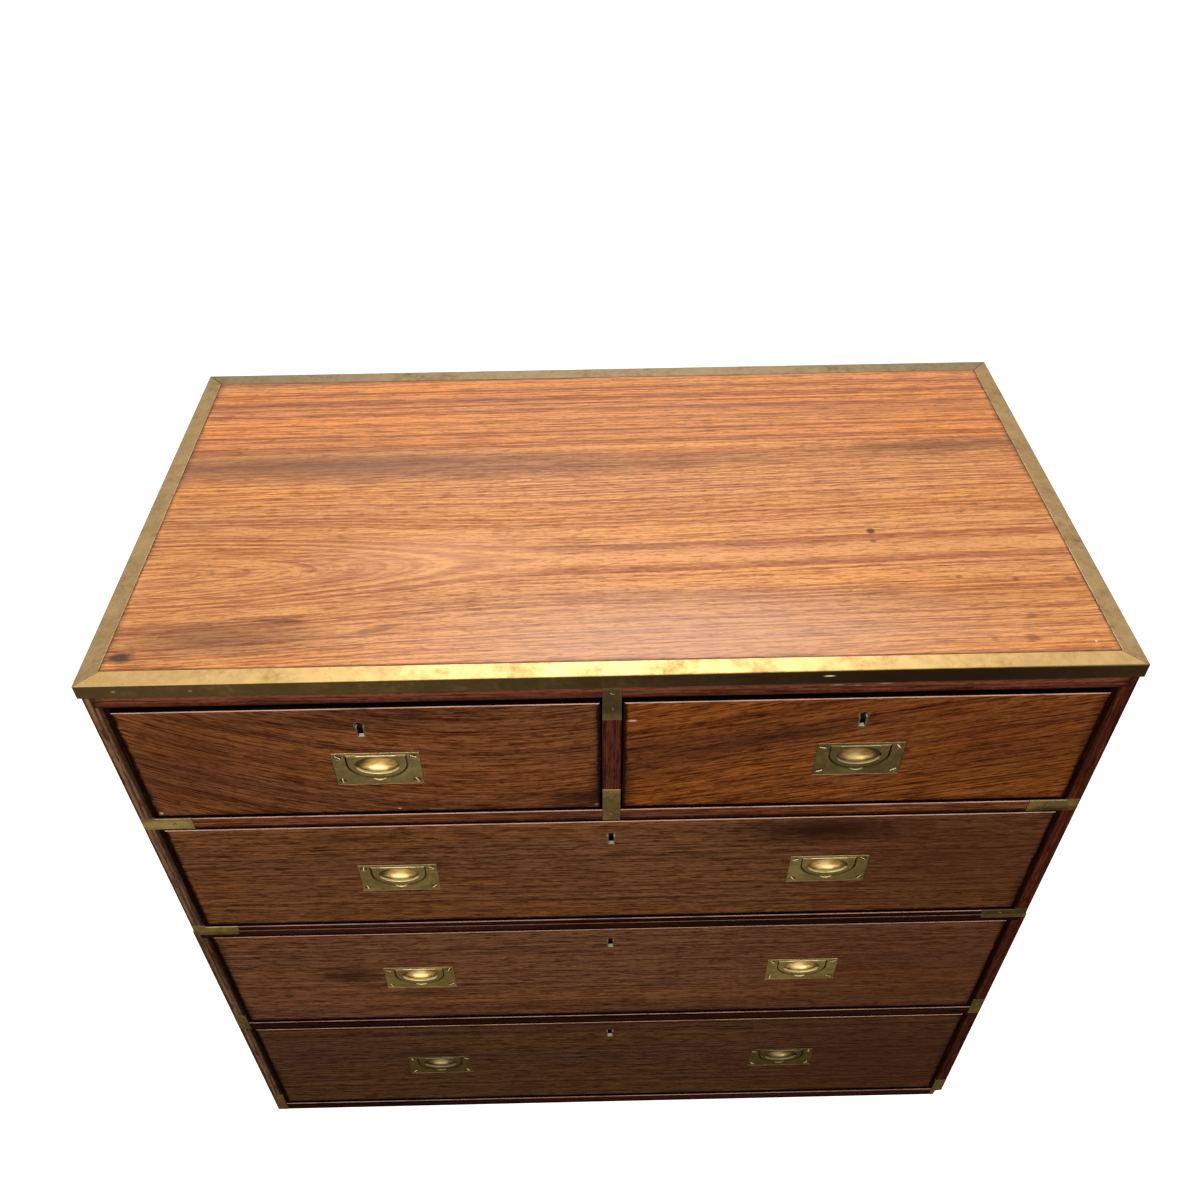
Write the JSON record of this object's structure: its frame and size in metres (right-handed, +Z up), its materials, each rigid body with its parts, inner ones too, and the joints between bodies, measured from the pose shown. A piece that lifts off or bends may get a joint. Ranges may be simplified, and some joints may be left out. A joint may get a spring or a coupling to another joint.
{
  "type": "campaign chest",
  "caption": "Two-part brass-bound campaign chest of drawers with flush drop handles, two short drawers over long ones.",
  "frame": {"origin": "centre of the base, on the floor", "axes": "+X to the chest's right as seen from the front, +Y to the back, +Z up; the drawers open towards -Y"},
  "size_m": [1, 0.525, 0.965],
  "materials": {
    "case_wood": "aged waxed camphor wood, orange brown top, darker stiles and rails",
    "front_wood": "dark waxed camphor wood with grime at the ends",
    "lining_wood": "dry unpolished secondary wood",
    "oak": "bare turned oak",
    "strap_brass": "sheet brass, olive patina with rubbed edges",
    "handle_brass": "cast brass, olive patina, bright where fingers rub",
    "lock_brass": "plain dull brass"
  },
  "bodies": {
    "lower_case": {"base_board": "case_wood", "locating_pegs": "oak", "lower_back_panel": "lining_wood", "lower_brass_straps": "strap_brass", "lower_drawer_rail": "case_wood", "lower_runners": "lining_wood", "lower_side_left": "case_wood", "lower_side_right": "case_wood", "lower_top_board": "case_wood"},
    "upper_case": {"centre_partition": "lining_wood", "centre_stile": "case_wood", "top_board": "case_wood", "top_brass_edging": "strap_brass", "top_rail": "case_wood", "upper_back_panel": "lining_wood", "upper_bottom_board": "case_wood", "upper_brass_straps": "strap_brass", "upper_drawer_rail": "case_wood", "upper_runners": "lining_wood", "upper_side_left": "case_wood", "upper_side_right": "case_wood"},
    "drawer_top_left": {"drawer_top_left_front": "front_wood", "drawer_top_left_sides_and_back": "lining_wood", "drawer_top_left_bottom": "lining_wood", "drawer_top_left_handle_plates": "handle_brass", "drawer_top_left_lock": "lock_brass"},
    "lock_bolt_top_left": {"drawer_top_left_lock_bolt": "lock_brass"},
    "bail_top_left": {"drawer_top_left_bail": "handle_brass"},
    "drawer_top_right": {"drawer_top_right_front": "front_wood", "drawer_top_right_sides_and_back": "lining_wood", "drawer_top_right_bottom": "lining_wood", "drawer_top_right_handle_plates": "handle_brass", "drawer_top_right_lock": "lock_brass"},
    "lock_bolt_top_right": {"drawer_top_right_lock_bolt": "lock_brass"},
    "bail_top_right": {"drawer_top_right_bail": "handle_brass"},
    "drawer_second": {"drawer_second_front": "front_wood", "drawer_second_sides_and_back": "lining_wood", "drawer_second_bottom": "lining_wood", "drawer_second_handle_plates": "handle_brass", "drawer_second_lock": "lock_brass"},
    "lock_bolt_second": {"drawer_second_lock_bolt": "lock_brass"},
    "bail_second_left": {"drawer_second_bail_left": "handle_brass"},
    "bail_second_right": {"drawer_second_bail_right": "handle_brass"},
    "drawer_third": {"drawer_third_front": "front_wood", "drawer_third_sides_and_back": "lining_wood", "drawer_third_bottom": "lining_wood", "drawer_third_handle_plates": "handle_brass", "drawer_third_lock": "lock_brass"},
    "lock_bolt_third": {"drawer_third_lock_bolt": "lock_brass"},
    "bail_third_left": {"drawer_third_bail_left": "handle_brass"},
    "bail_third_right": {"drawer_third_bail_right": "handle_brass"},
    "drawer_bottom": {"drawer_bottom_front": "front_wood", "drawer_bottom_sides_and_back": "lining_wood", "drawer_bottom_bottom": "lining_wood", "drawer_bottom_handle_plates": "handle_brass", "drawer_bottom_lock": "lock_brass"},
    "lock_bolt_bottom": {"drawer_bottom_lock_bolt": "lock_brass"},
    "bail_bottom_left": {"drawer_bottom_bail_left": "handle_brass"},
    "bail_bottom_right": {"drawer_bottom_bail_right": "handle_brass"}
  },
  "joints": [
    {"name": "upper_case_lift", "type": "slide", "parent": "lower_case", "child": "upper_case", "axis": [0, 0, 1], "range_m": [0, 0.06]},
    {"name": "drawer_top_left_slide", "type": "slide", "parent": "upper_case", "child": "drawer_top_left", "axis": [0, -1, 0], "range_m": [0, 0.4]},
    {"name": "lock_bolt_top_left_throw", "type": "slide", "parent": "drawer_top_left", "child": "lock_bolt_top_left", "axis": [0, 0, 1], "range_m": [0, 0.014]},
    {"name": "bail_top_left_swing", "type": "hinge", "parent": "drawer_top_left", "child": "bail_top_left", "pos_m": [-0.23668, -0.2551, 0.8455], "axis": [-1, 0, 0], "range_deg": [0, 95]},
    {"name": "drawer_top_right_slide", "type": "slide", "parent": "upper_case", "child": "drawer_top_right", "axis": [0, -1, 0], "range_m": [0, 0.4]},
    {"name": "lock_bolt_top_right_throw", "type": "slide", "parent": "drawer_top_right", "child": "lock_bolt_top_right", "axis": [0, 0, 1], "range_m": [0, 0.014]},
    {"name": "bail_top_right_swing", "type": "hinge", "parent": "drawer_top_right", "child": "bail_top_right", "pos_m": [0.25068, -0.2551, 0.8455], "axis": [-1, 0, 0], "range_deg": [0, 95]},
    {"name": "drawer_second_slide", "type": "slide", "parent": "upper_case", "child": "drawer_second", "axis": [0, -1, 0], "range_m": [0, 0.4]},
    {"name": "lock_bolt_second_throw", "type": "slide", "parent": "drawer_second", "child": "lock_bolt_second", "axis": [0, 0, 1], "range_m": [0, 0.014]},
    {"name": "bail_second_left_swing", "type": "hinge", "parent": "drawer_second", "child": "bail_second_left", "pos_m": [-0.2398, -0.2551, 0.6438], "axis": [-1, 0, 0], "range_deg": [0, 95]},
    {"name": "bail_second_right_swing", "type": "hinge", "parent": "drawer_second", "child": "bail_second_right", "pos_m": [0.2462, -0.2551, 0.6438], "axis": [-1, 0, 0], "range_deg": [0, 95]},
    {"name": "drawer_third_slide", "type": "slide", "parent": "lower_case", "child": "drawer_third", "axis": [0, -1, 0], "range_m": [0, 0.4]},
    {"name": "lock_bolt_third_throw", "type": "slide", "parent": "drawer_third", "child": "lock_bolt_third", "axis": [0, 0, 1], "range_m": [0, 0.014]},
    {"name": "bail_third_left_swing", "type": "hinge", "parent": "drawer_third", "child": "bail_third_left", "pos_m": [-0.2424, -0.2551, 0.4108], "axis": [-1, 0, 0], "range_deg": [0, 95]},
    {"name": "bail_third_right_swing", "type": "hinge", "parent": "drawer_third", "child": "bail_third_right", "pos_m": [0.2436, -0.2551, 0.4108], "axis": [-1, 0, 0], "range_deg": [0, 95]},
    {"name": "drawer_bottom_slide", "type": "slide", "parent": "lower_case", "child": "drawer_bottom", "axis": [0, -1, 0], "range_m": [0, 0.4]},
    {"name": "lock_bolt_bottom_throw", "type": "slide", "parent": "drawer_bottom", "child": "lock_bolt_bottom", "axis": [0, 0, 1], "range_m": [0, 0.014]},
    {"name": "bail_bottom_left_swing", "type": "hinge", "parent": "drawer_bottom", "child": "bail_bottom_left", "pos_m": [-0.2418, -0.2551, 0.1543], "axis": [-1, 0, 0], "range_deg": [0, 95]},
    {"name": "bail_bottom_right_swing", "type": "hinge", "parent": "drawer_bottom", "child": "bail_bottom_right", "pos_m": [0.2442, -0.2551, 0.1543], "axis": [-1, 0, 0], "range_deg": [0, 95]}
  ]
}
